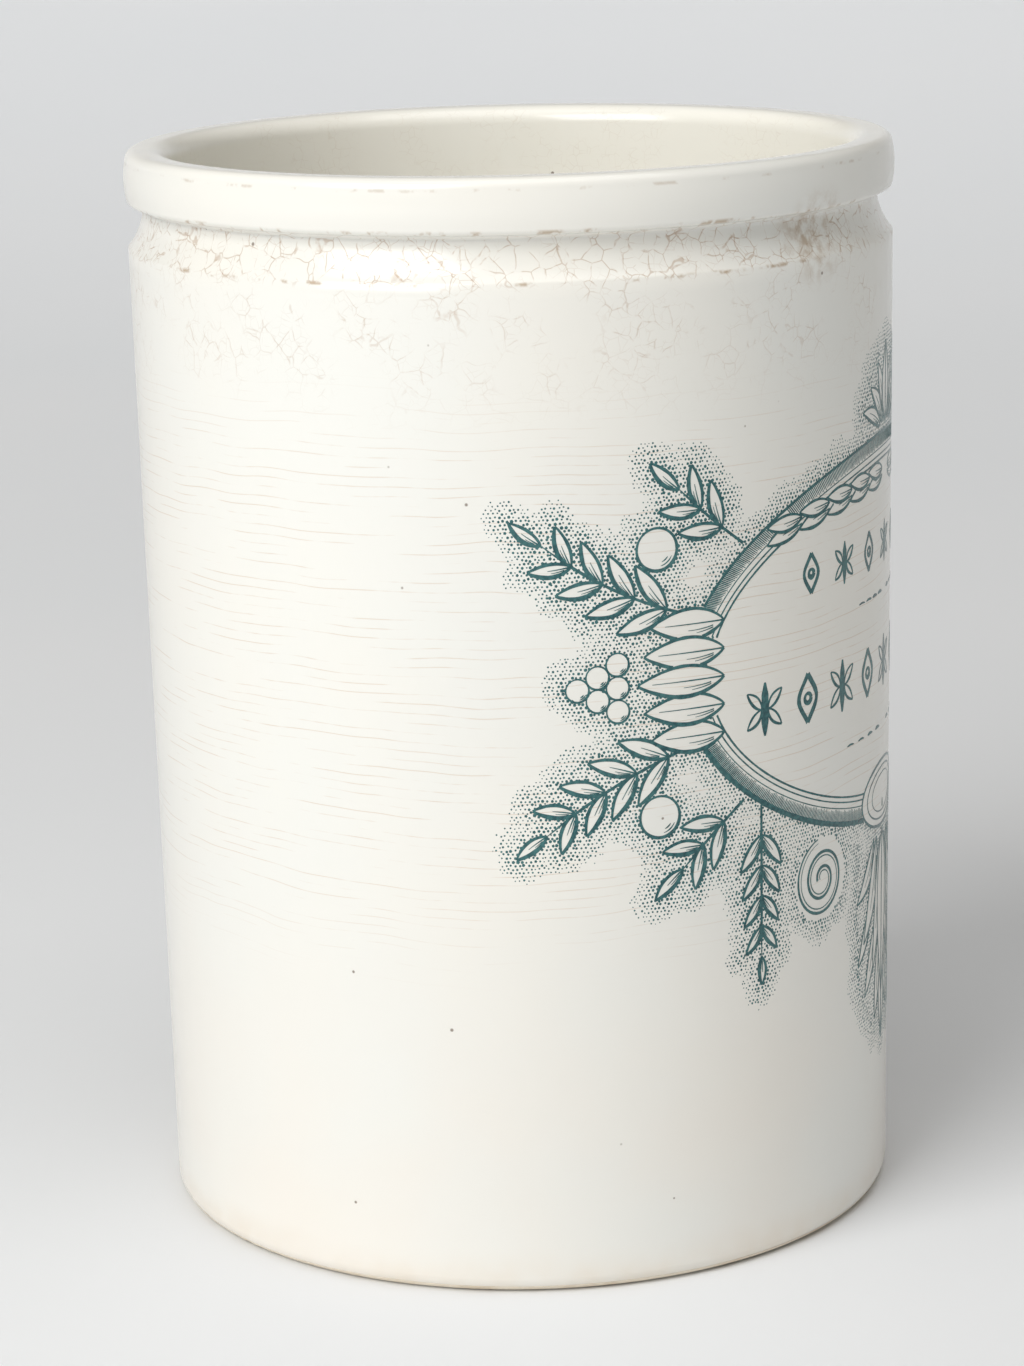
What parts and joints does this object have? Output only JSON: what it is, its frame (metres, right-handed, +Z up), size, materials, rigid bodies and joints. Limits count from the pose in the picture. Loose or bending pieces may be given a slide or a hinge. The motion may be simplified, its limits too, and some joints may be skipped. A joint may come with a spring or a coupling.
{
  "type": "preserve pot",
  "caption": "Straight-sided glazed earthenware jar with a rolled rim, a tie groove for a string under it and a printed oval ornament on the wall.",
  "frame": {"origin": "centre of the foot ring, on the table", "axes": "+Z up through the mouth; the print faces -Y; +X is to the right of someone who faces the print"},
  "size_m": [0.0904, 0.0904, 0.1272],
  "materials": {
    "biscuit": "unglazed fired earthenware, cream to buff, seen on the foot ring",
    "glaze": "glossy ivory glaze with fine brown crazing and faint rust-coloured hairlines",
    "print_ink": "dark teal-green transfer print under the glaze, drawn in lines and dots"
  },
  "bodies": {
    "root": {"fired_body": "biscuit", "glaze_coat": "glaze", "foot_glaze": "glaze", "print_oval_frame": "print_ink", "print_cuffs": "print_ink", "print_fruit": "print_ink", "print_berries": "print_ink", "print_leaf_sprays": "print_ink", "print_laurel": "print_ink", "print_scrolls": "print_ink", "print_pendant": "print_ink", "print_crest": "print_ink", "print_centre_rows": "print_ink"}
  },
  "joints": []
}
